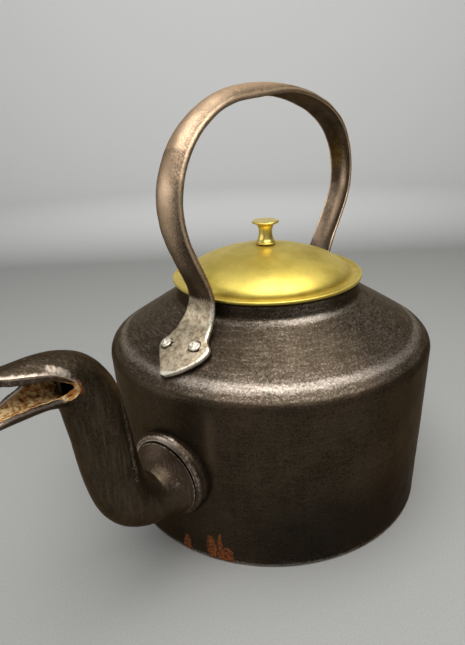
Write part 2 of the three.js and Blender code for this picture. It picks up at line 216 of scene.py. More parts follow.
def turned(profile, segments):
    """Vertices and faces of a profile [radius, z] turned about Z. Ends on the axis become one point."""
    angles = np.linspace(0, 2 * math.pi, segments, endpoint=False)
    start_pole, end_pole = profile[0][0] < 1e-6, profile[-1][0] < 1e-6
    rings = profile[int(start_pole):len(profile) - int(end_pole)]
    vertices = np.stack([
        np.outer(rings[:, 0], np.cos(angles)),
        np.outer(rings[:, 0], np.sin(angles)),
        np.repeat(rings[:, 1:2], segments, axis=1),
    ], axis=-1).reshape(-1, 3)
    faces = grid_faces(len(rings), segments)
    last = (len(rings) - 1) * segments
    if start_pole:
        vertices = np.vstack([vertices, [0, 0, profile[0][1]]])
        faces += [(len(vertices) - 1, (j + 1) % segments, j) for j in range(segments)]
    if end_pole:
        vertices = np.vstack([vertices, [0, 0, profile[-1][1]]])
        faces += [(len(vertices) - 1, last + j, last + (j + 1) % segments) for j in range(segments)]
    if not start_pole and not end_pole:
        faces += band(last, 0, segments)
    return vertices, faces


def new_mesh(name, vertices_mm, faces):
    mesh = bpy.data.meshes.new(name)
    mesh.from_pydata((np.asarray(vertices_mm) * MM).tolist(), [], faces)
    mesh.validate()
    mesh.update()
    return mesh


def fair_normals(mesh, weld_mm=0.0):
    """Turns a closed mesh's faces outwards. With weld_mm, loose vertices go and close ones join first."""
    work = bmesh.new()
    work.from_mesh(mesh)
    if weld_mm:
        loose = [v for v in work.verts if not v.link_faces]
        bmesh.ops.delete(work, geom=loose, context="VERTS")
        bmesh.ops.remove_doubles(work, verts=work.verts, dist=weld_mm * MM)
    bmesh.ops.recalc_face_normals(work, faces=work.faces)
    work.to_mesh(mesh)
    work.free()


def turned_mesh(name, outline, longest, segments):
    """A closed mesh turned from an outline, whose stretches are divided to the given length."""
    mesh = new_mesh(name, *turned(divided(outline, longest), segments))
    fair_normals(mesh)
    return mesh


def coordinates(mesh):
    flat = np.zeros(len(mesh.vertices) * 3)
    mesh.vertices.foreach_get("co", flat)
    return flat.reshape(-1, 3) / MM


def move_along_normals(mesh, distances_mm):
    flat = np.zeros(len(mesh.vertices) * 3, np.float32)
    mesh.vertex_normals.foreach_get("vector", flat)
    moved = coordinates(mesh) + flat.reshape(-1, 3) * np.asarray(distances_mm)[:, None]
    mesh.vertices.foreach_set("co", (moved * MM).ravel())
    mesh.update()


def mark(mesh, **values):
    """Stores a number at each vertex, which the materials read by name."""
    for name, numbers in values.items():
        attribute = mesh.attributes.new(name, "FLOAT", "POINT")
        attribute.data.foreach_set("value", np.clip(numbers, 0, 1).astype(np.float32))


def in_scene(name, data):
    """A new object, linked into the scene."""
    thing = bpy.data.objects.new(name, data)
    bpy.context.scene.collection.objects.link(thing)
    return thing


def piece(name, mesh, material, body, nodes, sharp_degrees=50):
    """Makes the mesh a visible piece that stands for CAD nodes and rides on their body."""
    mesh.polygons.foreach_set("use_smooth", np.ones(len(mesh.polygons), bool))
    mesh.set_sharp_from_angle(angle=math.radians(sharp_degrees))
    mesh.materials.append(material)
    thing = in_scene(name, mesh)
    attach(thing, body)
    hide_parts(*nodes)
    return thing


def cut_away(mesh, cutter):
    """The first mesh less the second, both closed."""
    things = [in_scene(m.name + "_work", m) for m in (mesh, cutter)]
    boolean = things[0].modifiers.new("cut", "BOOLEAN")
    boolean.operation = "DIFFERENCE"
    boolean.solver = "EXACT"
    boolean.object = things[1]
    graph = bpy.context.evaluated_depsgraph_get()
    result = bpy.data.meshes.new_from_object(things[0].evaluated_get(graph))
    result.name = mesh.name + "_cut"
    for thing in things:
        bpy.data.objects.remove(thing)
    return result


# ---- materials

class Shader:
    """A node material on one Principled surface, with noise sizes given in millimetres."""

    def __init__(self, name, **surface):
        self.material = bpy.data.materials.new(name)
        self.material.use_nodes = True
        self.tree = self.material.node_tree
        self.surface = self.tree.nodes["Principled BSDF"]
        self.place = self.node("ShaderNodeTexCoord").outputs["Object"]
        self.normal = None
        self.colour = None
        for socket, value in surface.items():
            self.set(socket.replace("_", " "), value)

    def node(self, kind, inputs=None, **settings):
        made = self.tree.nodes.new(kind)
        for key, value in settings.items():
            setattr(made, key, value)
        for key, value in (inputs or {}).items():
            self.feed(made.inputs[key], value)
        return made

    def feed(self, socket, value):
        if isinstance(value, bpy.types.NodeSocket):
            self.tree.links.new(value, socket)
        elif socket.type == "RGBA":
            socket.default_value = (*value, 1)
        else:
            socket.default_value = value

    def set(self, socket, value):
        self.feed(self.surface.inputs[socket], value)

    def noise(self, size, detail=3.0, roughness=0.55, stretch=(1, 1, 1), twist=0.0):
        scale = [1 / (size * MM * s) for s in stretch]
        spread = self.node("ShaderNodeMapping", {"Vector": self.place, "Scale": scale})
        texture = self.node("ShaderNodeTexNoise", {
            "Vector": spread.outputs[0], "Scale": 1.0,
            "Detail": detail, "Roughness": roughness, "Distortion": twist,
        })
        return texture.outputs[0]

    def uneven(self, amount, *size, **settings):
        """Noise about zero, up to half the amount either way."""
        return self.times(self.plus(self.noise(*size, **settings), -0.5), amount)

    def attribute(self, name):
        return self.node("ShaderNodeAttribute", attribute_name=name).outputs["Fac"]

    def between(self, value, low, high, start=0.0, stop=1.0):
        """start below low, stop above high, eased between; low may be the higher of the two."""
        return self.node("ShaderNodeMapRange", {
            "Value": value, "From Min": low, "From Max": high, "To Min": start, "To Max": stop,
        }, interpolation_type="SMOOTHSTEP").outputs[0]

    def maths(self, operation, a, b=0.0):
        made = self.node("ShaderNodeMath", operation=operation)
        self.feed(made.inputs[0], a)
        self.feed(made.inputs[1], b)
        return made.outputs[0]

    def times(self, a, b):
        return self.maths("MULTIPLY", a, b)

    def plus(self, a, b):
        return self.maths("ADD", a, b)

    def mix(self, share, a, b):
        made = self.node("ShaderNodeMix", data_type="RGBA")
        self.feed(made.inputs[0], share)
        self.feed(made.inputs[6], a)
        self.feed(made.inputs[7], b)
        return made.outputs[2]

    def spots(self, low, high, *size, **settings):
        """A mask from noise: 0 where the noise is below low, 1 where it is above high."""
        return self.between(self.noise(*size, **settings), low, high)

    def lay(self, tint, mask, strength=1.0):
        """Mixes a tint over the surface's colour so far."""
        self.colour = self.mix(self.times(mask, strength), self.colour, tint)

    def finished(self, roughness, metallic=None):
        """The material, once its colour is laid. Bumps are added before."""
        self.set("Base Color", self.colour)
        self.set("Roughness", roughness)
        if metallic is not None:
            self.set("Metallic", metallic)
        return self.material

    def bump(self, height, depth):
        """Raises the surface by height times depth, in millimetres."""
        inputs = {"Height": height, "Strength": 1.0, "Distance": depth * MM}
        if self.normal is not None:
            inputs["Normal"] = self.normal
        self.normal = self.node("ShaderNodeBump", inputs).outputs[0]
        self.set("Normal", self.normal)


# What iron reflects at a grazing angle, and the colours of rust.
IRON_EDGE = (0.50, 0.42, 0.33)
RUST_DARK, RUST_BRIGHT = (0.070, 0.019, 0.007), (0.270, 0.078, 0.020)


def rusted(s, amount):
    """Lays rust where amount is high, broken up by noise, and returns the rust's mask."""
    mask = s.between(s.plus(amount, s.uneven(1.2, 3, 5, 0.65, stretch=(1, 1, 2.2))), 0.42, 0.66)
    s.lay(s.mix(s.spots(0.40, 0.62, 1.8, 4, 0.7), RUST_DARK, RUST_BRIGHT), mask)
    return mask


def body_iron():
    s = Shader("body_iron", Specular_IOR_Level=0.4, Specular_Tint=IRON_EDGE)
    inside = s.attribute("inside")
    s.colour = s.mix(s.spots(0.34, 0.66, 30, 4), (0.022, 0.0155, 0.0095), (0.048, 0.035, 0.023))
    reddish = s.spots(0.50, 0.68, 42, 2, twist=0.6)
    s.lay((0.080, 0.044, 0.030), reddish, 0.40)
    # painted reflection: a pale strip down the wall beside the spout's root
    s.lay((0.180, 0.125, 0.078), s.attribute("tan"), 0.6)
    streaks = s.spots(0.50, 0.72, 7, 3, stretch=(1, 1, 8))
    s.lay((0.075, 0.056, 0.036), streaks, 0.30)
    brushed = s.noise(1.1, 4, 0.7, stretch=(11, 11, 1))
    s.lay((0.105, 0.080, 0.054), s.between(brushed, 0.46, 0.66), 0.28)
    grain = s.spots(0.38, 0.64, 1.3, 4, 0.75, stretch=(1.2, 1.2, 0.7))
    s.lay((0.108, 0.082, 0.054), grain, 0.46)
    pits = s.spots(0.42, 0.30, 1.9, 3, 0.65)
    s.lay((0.012, 0.009, 0.006), pits, 0.75)
    # painted shade: the wall darkens towards the bottom, most on the sides away from the spout
    s.lay((0.010, 0.009, 0.0085), s.attribute("low"), 0.70)
    # pale wear with painted highlights on the shoulder roll, the foot of the cone, the neck lip and the
    # fillet
    wear = s.plus(s.uneven(1.2, 1.3, 5, 0.78), s.times(s.plus(brushed, -0.5), 0.35))
    rubbed_and_highlight = s.between(s.plus(s.attribute("worn"), wear), 0.15, 0.95)
    s.lay((0.56, 0.49, 0.42), rubbed_and_highlight)
    s.lay(s.mix(s.spots(0.42, 0.60, 7, 4), (0.055, 0.030, 0.018), (0.20, 0.16, 0.12)), inside)
    dull = s.plus(rusted(s, s.attribute("rust")), inside)
    s.bump(s.noise(7, 3), 0.20)
    s.bump(s.noise(1.4, 5, 0.75, stretch=(1.2, 1.2, 0.8)), 0.17)
    s.bump(brushed, 0.07)
    rough = s.plus(s.plus(0.40, s.uneven(0.22, 11, 3)), s.times(rubbed_and_highlight, -0.14))
    return s.finished(s.plus(rough, s.times(dull, 0.35)), s.between(dull, 0, 1, 0.86, 0.05))


def spout_iron():
    s = Shader("spout_iron", Specular_IOR_Level=0.4, Specular_Tint=IRON_EDGE)
    s.colour = s.mix(s.spots(0.36, 0.64, 20, 4), (0.028, 0.020, 0.012), (0.056, 0.042, 0.027))
    purple = s.spots(0.54, 0.70, 15, 3, twist=0.5)
    s.lay((0.085, 0.050, 0.046), purple, 0.45)
    s.lay((0.098, 0.062, 0.048), s.attribute("mauve"), 0.55)
    brushed = s.spots(0.46, 0.70, 1.6, 3, stretch=(1, 1, 12))
    s.lay((0.125, 0.096, 0.064), brushed, 0.42)
    grain = s.spots(0.38, 0.66, 1.0, 3, 0.7)
    s.lay((0.115, 0.087, 0.058), grain, 0.40)
    # pale wear with painted highlights on the lips, rim, heel, bend, root, riser and seat
    pale = s.between(s.plus(s.attribute("worn"), s.uneven(1.3, 1.8, 5, 0.75)), 0.30, 0.90)
    s.lay((0.57, 0.47, 0.385), pale)
    rust = rusted(s, s.attribute("rust"))
    flakes = s.spots(0.42, 0.56, 2.6, 4, 0.65)
    crust = s.mix(flakes, (0.56, 0.24, 0.06), (1.0, 0.71, 0.35))
    crust = s.mix(s.spots(0.56, 0.66, 2.4, 3), crust, (0.20, 0.075, 0.025))
    limed = s.between(s.plus(s.attribute("lime"), s.uneven(0.7, 3, 3)), 0.40, 0.62)
    s.lay(crust, limed)
    # painted shade deep inside the mouth
    s.lay((0.030, 0.018, 0.010), s.attribute("grime"))
    s.bump(s.noise(6, 3), 0.18)
    s.bump(s.noise(1.3, 5, 0.75, stretch=(1, 1, 2)), 0.14)
    s.bump(brushed, 0.05)
    s.bump(s.times(flakes, limed), 0.35)
    dull = s.maths("MAXIMUM", rust, limed)
    rough = s.plus(s.plus(0.40, s.uneven(0.20, 7, 3)), s.times(pale, -0.06))
    return s.finished(s.plus(rough, s.times(dull, 0.40)), s.between(dull, 0, 1, 0.86, 0.0))


def handle_iron():
    s = Shader("handle_iron", Specular_IOR_Level=0.4, Specular_Tint=IRON_EDGE)
    s.colour = s.mix(s.spots(0.36, 0.64, 15, 4), (0.060, 0.042, 0.029), (0.120, 0.086, 0.060))
    specks = s.spots(0.44, 0.68, 1.0, 3, 0.7)
    s.lay((0.190, 0.145, 0.108), specks, 0.5)
    grain = s.uneven(1.3, 0.9, 5, 0.78)
    # rubbed wear, with painted highlights on the front leg, the edges and the rear leg's inner face
    s.lay((0.70, 0.50, 0.33), s.between(s.plus(s.attribute("worn"), grain), 0.20, 1.0))
    mottled = s.mix(s.spots(0.32, 0.62, 3.6, 6, 0.78), (0.27, 0.195, 0.120), (0.74, 0.63, 0.46))
    s.lay(mottled, s.between(s.plus(s.attribute("bare"), s.times(grain, 0.6)), 0.30, 0.70))
    # bright polish on the feet with painted highlights, and a painted reflection on the rear leg's inner
    # face
    s.lay((0.92, 0.86, 0.72), s.between(s.plus(s.attribute("bright"), grain), 0.50, 0.85))
    # darker on the strap's inner face near the feet, in the nicks and round the rivets
    darkened = s.between(s.plus(s.attribute("grime"), s.times(grain, 0.4)), 0.35, 0.65)
    s.lay((0.016, 0.011, 0.008), darkened)
    s.bump(s.noise(4.5, 3), 0.17)
    s.bump(s.noise(1.2, 5, 0.75), 0.14)
    rough = s.plus(0.38, s.uneven(0.20, 5, 3))
    return s.finished(s.plus(rough, s.times(darkened, 0.3)), s.between(darkened, 0, 1, 0.88, 0.2))


def rivet_iron():
    s = Shader("rivet_iron", Specular_IOR_Level=0.4)
    edge = s.attribute("grime")
    s.colour = s.mix(s.spots(0.40, 0.60, 1.8, 4, 0.7), (0.50, 0.42, 0.31), (0.90, 0.85, 0.74))
    s.lay((0.020, 0.015, 0.011), edge)
    s.bump(s.noise(1.6, 3), 0.12)
    return s.finished(s.plus(0.40, s.times(edge, 0.3)), s.between(edge, 0, 1, 0.9, 0.3))


def lid_brass():
    s = Shader("lid_brass", Metallic=1.0)
    crease = s.attribute("grime")
    s.colour = s.mix(s.spots(0.34, 0.68, 19, 4), (0.65, 0.500, 0.098), (0.76, 0.605, 0.140))
    clouds = s.spots(0.50, 0.74, 9, 4, 0.65)
    s.lay((0.46, 0.345, 0.065), clouds, 0.35)
    dots = s.spots(0.72, 0.78, 1.5, 1)
    s.lay((0.20, 0.145, 0.040), dots, 0.7)
    s.lay((0.150, 0.105, 0.026), crease, 0.75)
    s.bump(s.noise(24, 2), 0.20)
    s.bump(s.noise(1.2, 3, 0.6), 0.014)
    return s.finished(s.plus(s.plus(0.45, s.uneven(0.16, 11, 4)), s.times(crease, 0.2)))


def knob_brass():
    s = Shader("knob_brass", Metallic=1.0)
    grime = s.attribute("grime")
    s.colour = s.mix(s.spots(0.36, 0.66, 4, 3), (0.86, 0.64, 0.15), (0.96, 0.77, 0.23))
    # darker at the foot's step, and a painted shadow line under the disc
    s.lay((0.16, 0.100, 0.025), grime, 0.8)
    s.bump(s.noise(0.5, 2, stretch=(30, 30, 1)), 0.010)
    return s.finished(s.plus(0.30, s.times(grime, 0.25)))


def floor_paint():
    s = Shader("floor_paint")
    s.colour = s.mix(s.spots(0.30, 0.70, 0.8, 5, 0.8), (0.30, 0.305, 0.30), (0.40, 0.40, 0.39))
    return s.finished(0.85)


# ---- body

# Rust at the foot of the wall: azimuth, half width, height of its top, height where it is full, how much.
RUST_PATCHES = [
    (2.8, 1.8, 19, 7, 1), (12.3, 1.9, 26, 12, 1), (18.2, 2.6, 15, 8, 1), (15.6, 0.8, 30, 16, 0.8),
]


def make_body(material):
    """The cast pot, open at the neck and pierced for the spout's spigot."""
    bore, floor = 56.3, 4.0
    mesh = turned_mesh("kettle_body", rounded([
        (0, 0),
        (BASE_RADIUS, 0, 1.5),
        (SHOULDER_RADIUS, SHOULDER_Z, 8),
        (NECK_RADIUS, cone_z(NECK_RADIUS), 3.5),
        (NECK_RADIUS, NECK_TOP_Z, 2.2),
        (bore, NECK_TOP_Z, 0.9),
        (bore, cone_z(bore) - WALL / math.cos(CONE_ANGLE), 1.5),
        (SHOULDER_RADIUS - WALL, SHOULDER_Z - 2, 4.4),
        (BASE_RADIUS - WALL, floor, 3),
        (0, floor),
    ], 9), 2.1, 300)
    p = coordinates(mesh)
    off_base = smoothstep(0.4, 5, p[:, 2])
    cast = 0.20 * wobble(p, 42, 1.0) + 0.07 * wobble(p, 13, 2.0) + 0.03 * wobble(p, 4.5, 3.0)
    move_along_normals(mesh, (cast - 0.12) * off_base)
    mesh = cut_away(mesh, spigot_plug())
    mark(mesh, **body_marks(coordinates(mesh)))
    return piece("body", mesh, material, KETTLE, ["kettle_body"])


def spigot_plug():
    """A cylinder along X through the wall, as wide as the hole for the spigot."""
    sides, inner_x, outer_x = 96, 90, 122
    radius = SPIGOT_RADIUS + GAP
    turn = np.linspace(0, 2 * math.pi, sides, endpoint=False)
    circle = [(radius * math.cos(a), SPOUT_ROOT_Z + radius * math.sin(a)) for a in turn]
    rings = [[x, *point] for x in (inner_x, outer_x) for point in circle]
    plug = new_mesh("spout_hole", rings, grid_faces(2, sides) + end_faces(2, sides))
    fair_normals(plug)
    return plug


def body_marks(p):
    """Wear with painted highlights, rust, painted shade low on the wall and a painted reflection strip, by
    height, radius and azimuth. The azimuth is in degrees from the spout.
    """
    radius = np.hypot(p[:, 0], p[:, 1])
    azimuth = np.degrees(np.arctan2(p[:, 1], p[:, 0]))
    z = p[:, 2]

    over_shoulder = (z > 112) & (radius > 57)
    skin = np.where(over_shoulder, z - cone_z(radius), radius - wall_radius(z)) + WALL * 0.6
    inside = np.where((skin < 0) & (z > 2.5), 1.0, 0.0)
    inside = np.where((radius < 58.5) & (z > 120), 1.0, inside)

    # Pale wear with painted highlights: the band on the shoulder roll, the foot of the cone, the rounded
    # lip of the neck and the neck fillet are lightened where the lamps' highlights fall.
    roll = bell(z, 119.0, 2.6) * (radius > 92)
    lower_cone = smoothstep(136, 121, z) * (z > 114)
    # The cone is worn least on the side between the spout and the left.
    cone_wear = 0.17 + 0.13 * smoothstep(25, 65, np.abs(azimuth - 32))
    cone = smoothstep(113, 119, z) * (radius > 64) * cone_wear
    foot_rub = bell(z, 0.8, 1.4) * 0.4 + 0.15 * smoothstep(15, 3, z)
    lip = bell(z, 151.3, 1.0) * (radius > 57) * 0.3
    fillet = bell(radius, 63.8, 2.6) * (z > 138) * (0.30 + 0.35 * bell(azimuth, 55, 22))
    worn = np.maximum.reduce([roll * 0.53, lower_cone * 0.24, cone, foot_rub, lip, fillet])

    patches = sum(
        much * bell(azimuth, at, width) * smoothstep(top, full, z)
        for at, width, top, full, much in RUST_PATCHES
    )
    faint = 0.50 * bell(azimuth, 62, 9) * smoothstep(10, 3, z)
    around = (0.25 + 0.5 * wobble(p, 26, 7.0)) * smoothstep(12, 1, z) * (np.abs(azimuth - 30) > 40)
    rust = np.maximum.reduce([patches, faint, around]) * (radius > 100)

    # Painted shade: darker towards the bottom of the wall, most on the sides away from the spout.
    low = smoothstep(72, 24, z) * (0.3 + 0.7 * smoothstep(15, 50, np.abs(azimuth)))
    # A painted reflection: a pale strip down the wall beside the spout.
    tan = bell(azimuth, 14.8, 1.6) * smoothstep(66, 78, z) * smoothstep(112, 98, z)
    return {"worn": worn, "rust": rust, "low": low, "inside": inside, "tan": tan}


# ---- spout

SPOUT_PATH = [
    (101.5, 60), (112, 60), (121, 56.6), (131, 57), (140.6, 63.2), (147.5, 74), (151.2, 89),
    (153.4, 105), (155.7, 122), (159, 137.5), (166, 147.7), (178, 152.8), (194, 154.6), (214, 155.8),
]
SPOUT_RADII = [
    (114.7, 23.0), (118, 20.6), (122, 17.7), (127, 15.8), (134, 15.2), (151, 14.9), (157, 14.6), (160, 14),
    (168, 13.1), (180, 12.6), (194, 12.1), (214, 11.5),
]
# The beak is cut from both sides, each from under the lower lip, round the heel, to over the upper lip.
BEAK_LEFT = [
    (214.5, 141), (213.4, 143.4), (210, 147), (203, 148.4), (191, 147.3), (181, 144.6), (174.2, 145.2),
    (170.7, 149.0), (173.2, 153.8), (180, 159.3), (190, 162.7), (201, 165.6), (206.5, 168.2), (209, 171),
]
BEAK_RIGHT = [
    (214.5, 141), (213.4, 143.2), (206, 145.6), (198, 147.3), (191, 148.7), (185.4, 149.6), (182.7, 151.2),
    (185.4, 153.3), (191, 155.2), (198, 158.6), (203, 163.5), (207.3, 168.6), (209, 171),
]
# How far the inner edge of a lip lies behind its outer edge, in degrees round the tube from the top.
LIP_SLANT = [(0, 0), (20, 6), (47, 12), (75, 8), (100, 3), (125, 13), (150, 10), (180, 0)]
# Layers that round off a lip: how far in from the outer skin, as a share, and how far out it stands.
RIM_LAYERS = [(0.14, 0.30), (0.5, 0.42), (0.86, 0.30)]


def inside_cut(points, outline):
    """Signed distance of X, Z points to a beak cut: positive where metal is cut away."""
    edge = catmull_rom(outline, 16)
    closed = np.vstack([edge, [(260, 171), (260, 141)], edge[:1]])
    a, b = closed[:-1], closed[1:]
    along = b - a
    offset = points[:, None, :] - a[None]
    share = np.clip((offset * along).sum(-1) / (along * along).sum(-1), 0, 1)
    distance = np.linalg.norm(offset - share[..., None] * along, axis=-1).min(axis=1)
    crosses = (a[None, :, 1] > points[:, None, 1]) != (b[None, :, 1] > points[:, None, 1])
    rise = np.where(along[:, 1] == 0, 1e-9, along[:, 1])
    at = a[None, :, 0] + (points[:, None, 1] - a[None, :, 1]) * (along[:, 0] / rise)[None]
    within = (crosses & (points[:, None, 0] < at)).sum(axis=1) % 2 == 1
    return np.where(within, distance, -distance)


def trimmed(rows, columns, keep):
    """Clips a grid where keep is negative.

    Returns the faces, and for each new vertex the two that it lies between and its share of the way.
    """
    faces, between, known = [], [], {}
    total = rows * columns

    def crossing(a, b):
        key = (min(a, b), max(a, b))
        if key not in known:
            known[key] = total + len(between)
            share = keep[key[0]] / (keep[key[0]] - keep[key[1]])
            between.append((*key, share))
        return known[key]

    for face in grid_faces(rows, columns):
        signs = [keep[v] >= 0 for v in face]
        if all(signs):
            faces.append(face)
        elif any(signs):
            outline = []
            for k, vertex in enumerate(face):
                following = face[(k + 1) % 4]
                if keep[vertex] >= 0:
                    outline.append(vertex)
                if (keep[vertex] >= 0) != (keep[following] >= 0):
                    outline.append(crossing(vertex, following))
            if len(outline) > 2:
                faces.append(tuple(outline))
    return faces, between


def open_edges(faces):
    """Edges that belong to only one face, in that face's direction."""
    edges = {}
    for face in faces:
        for a, b in zip(face, (*face[1:], face[0])):
            if (b, a) in edges:
                del edges[(b, a)]
            else:
                edges[(a, b)] = True
    return list(edges)


def spout_line():
    """The spout's middle line in X and Z, its direction and its outer radius, ring by ring."""
    path, direction, _ = evenly(catmull_rom(SPOUT_PATH), 1.0)
    # Rings stay upright where the line dips behind the collar, so that they don't cross each other.
    direction[:, 1] = blurred(np.maximum(direction[:, 1], 0), 2)
    in_wall = path[:, 0] < SPOUT_SEAT_X
    radius = np.where(in_wall, SPIGOT_RADIUS, stations(path[:, 0], SPOUT_RADII, 1.2))
    seat = int(np.argmin(in_wall))
    path[seat - 1, 0] = SPOUT_SEAT_X - 0.1
    radius[seat] = SPOUT_RADII[0][1] + 0.1
    return path, unit(direction), radius


def spout_skins():
    """The whole tube's outer and inner skin, ring after ring, and the outer skin's spokes."""
    path, direction, radius = spout_line()
    level = np.zeros(len(path))
    normal = np.column_stack([-direction[:, 1], level, direction[:, 0]])
    centre = np.column_stack([path[:, 0], level, path[:, 1]])
    side = np.array([0.0, 1.0, 0.0])

    def skin(radii, angles):
        spokes = np.cos(angles)[..., None] * normal[:, None, :] + np.sin(angles)[..., None] * side
        return (centre[:, None, :] + radii[:, None, None] * spokes).reshape(-1, 3), spokes.reshape(-1, 3)

    theta = np.linspace(0, 2 * math.pi, SPOUT_COLUMNS, endpoint=False)
    angles = np.repeat(theta[None], len(path), axis=0)
    outer, spokes = skin(radius, angles)
    ripple = 0.16 * wobble(outer, 17, 4.0) + 0.05 * wobble(outer, 6, 5.0)
    ripple += 0.03 * wobble(outer * [1, 1, 3], 7, 6.0)
    outer = outer + spokes * ((ripple - 0.08) * smoothstep(SPOUT_SEAT_X, 118, outer[:, 0]))[:, None]

    # In the beak the inner skin is turned against the outer one, so the cut faces slant like filed lips.
    on_left = theta <= math.pi
    from_top = np.degrees(np.where(on_left, theta, 2 * math.pi - theta))
    slant = np.interp(from_top, *zip(*LIP_SLANT)) * np.where(on_left, 1, -1)
    in_beak = smoothstep(160, 172, path[:, 0])
    bore = np.minimum(radius - SPOUT_WALL, WIDEST_BORE)
    inner, inner_spokes = skin(bore, angles + np.radians(in_beak[:, None] * slant[None]))
    crust = bell(inner[:, 0], 173, 7) * (1.5 + 0.7 * wobble(inner, 3.2, 15.0))
    crust += bell(inner[:, 0], 190, 16) * 0.4 * (1 + wobble(inner, 2.4, 16.0))
    return outer, inner - inner_spokes * crust[:, None], spokes


def depth_in_beak(points):
    """How far each point lies inside the opening cut for the beak, negative where metal stays."""
    left = smoothstep(-4, 4, points[:, 1])
    from_side = points[:, [0, 2]]
    depth = left * inside_cut(from_side, BEAK_LEFT) + (1 - left) * inside_cut(from_side, BEAK_RIGHT)
    return np.where(points[:, 0] < 166, -9, depth)


def closed_tube(outer, inner, spokes, faces):
    """Joins two skins with the same faces by a ring at the root and by rounded layers round the beak.

    Returns the vertices (outer skin, inner skin, layers), the faces, and which vertices of the outer
    skin lie along the beak's edge.
    """
    count = len(outer)
    edges = [e for e in open_edges(faces) if max(e) >= SPOUT_COLUMNS]
    lean = {}
    for a, b in edges:
        outwards = np.cross(outer[b] - outer[a], spokes[a])
        for v in (a, b):
            lean[v] = lean.get(v, 0) + outwards / max(np.linalg.norm(outwards), 1e-9)
    rim = sorted(lean)
    push = unit(np.array([lean[v] for v in rim]))
    vertices = [outer, inner]
    loops = [{v: v for v in rim}]
    for layer, (share, out) in enumerate(RIM_LAYERS):
        vertices.append(outer[rim] * (1 - share) + inner[rim] * share + push * out)
        first = 2 * count + layer * len(rim)
        loops.append({v: first + k for k, v in enumerate(rim)})
    loops.append({v: v + count for v in rim})

    faces = [*faces, *[tuple(v + count for v in reversed(face)) for face in faces]]
    for near, far in zip(loops[:-1], loops[1:]):
        faces += [(near[b], near[a], far[a], far[b]) for a, b in edges]
    faces += band(count, 0, SPOUT_COLUMNS)
    return np.vstack(vertices), faces, rim


def spout_marks(p, depth, count, rim):
    """Wear with painted highlights, rust, lime and painted shade on closed_tube's vertices. depth is how
    far the uncut grid lies in the beak.
    """
    x, y, z = p.T
    number = np.arange(len(p))
    is_outer = number < count
    is_inner = ((number >= count) & (number < 2 * count)) * 1.0
    is_rim = (number >= 2 * count) * 1.0
    is_rim[[*rim, *[v + count for v in rim]]] = 0.8
    outside = 1 - np.maximum(is_inner, is_rim)
    from_edge = np.zeros(len(p))
    from_edge[:len(depth)] = np.clip(-depth, 0, 50)

    # A painted highlight runs along the outer edge of the upper lip and the middle of the lower one.
    layer = (number - 2 * count) // len(rim)
    lip_line = ((layer == 0) & (z > 152)) | ((layer == 1) & (z < 150))
    lip_edge = is_outer * bell(from_edge, 0, 1.1) * (0.35 + 0.65 * (z > 151))
    over_heel = is_outer * bell(from_edge, 1.8, 2.2) * bell(x, 178, 6.5) * (z > 152)
    bend_top = smoothstep(160, 167, z) * smoothstep(206, 190, x) * outside
    root_spot = bell(np.linalg.norm(p - [120.5, 15, 65], axis=1), 0, 4.5)
    round_riser = np.degrees(np.arctan2(y, 152 - x))
    flank = bell(round_riser, 74, 11) * smoothstep(150, 128, z) * smoothstep(72, 92, z)
    seat = bell(x, SPOUT_SEAT_X + 0.4, 0.6)
    # Wear with painted highlights: the lip lines, the patch over the heel, the bend's top, the spot on the
    # root, the streak down the riser's flank, the line at the seat and the rim's sheen.
    worn = np.maximum.reduce([
        is_rim * 0.36, lip_line * 0.95, lip_edge * 0.9, over_heel * 0.95,
        bend_top * 0.30, root_spot * 0.55, flank * outside * 0.52, seat * outside * 0.6,
    ])

    heel = bell(x, 172, 9) * smoothstep(166, 170, x)
    round_heel = is_outer * bell(from_edge, 0, 3.2) * bell(x, 172, 6) * (z > 146)
    under_root = bell(z, 44, 5) * bell(x, 117, 5) * smoothstep(-4, 6, y) * outside
    rust = np.maximum.reduce([
        under_root * 0.36, round_heel * 0.60, is_rim * heel * 0.55, is_inner * (0.45 + 0.4 * heel),
    ])

    in_mouth = is_inner * smoothstep(163, 168, x) * smoothstep(158, 152, z) * 1.1
    lime = np.maximum(in_mouth, is_rim * bell(x, 172, 8) * smoothstep(156, 150, z) * 0.72)
    root = smoothstep(129, 117, x) * outside
    mauve = np.maximum(root * 0.9, is_rim * 0.8 * (x > 176))
    # Painted shade deep in the mouth, towards the cavity.
    shade = is_inner * smoothstep(186, 172, x) * smoothstep(146, 152, z) * 0.8
    return {"worn": worn, "rust": rust, "lime": lime, "mauve": mauve, "grime": shade}


def make_spout(material):
    """A bent tube with a spigot at its root, cut open to a beak at its end."""
    outer, inner, spokes = spout_skins()
    depth = depth_in_beak(outer)
    faces, between = trimmed(len(outer) // SPOUT_COLUMNS, SPOUT_COLUMNS, -depth)
    a, b, share = (np.array(column) for column in zip(*between))

    def extended(points):
        return np.vstack([points, points[a] * (1 - share[:, None]) + points[b] * share[:, None]])

    outer, inner, spokes = extended(outer), extended(inner), extended(spokes)
    vertices, faces, rim = closed_tube(outer, inner, spokes, faces)
    mesh = new_mesh("spout", vertices, faces)
    mark(mesh, **spout_marks(coordinates(mesh), depth, len(outer), rim))
    fair_normals(mesh, 0.12)
    return piece("spout_tube", mesh, material, KETTLE, ["spout"], 60)


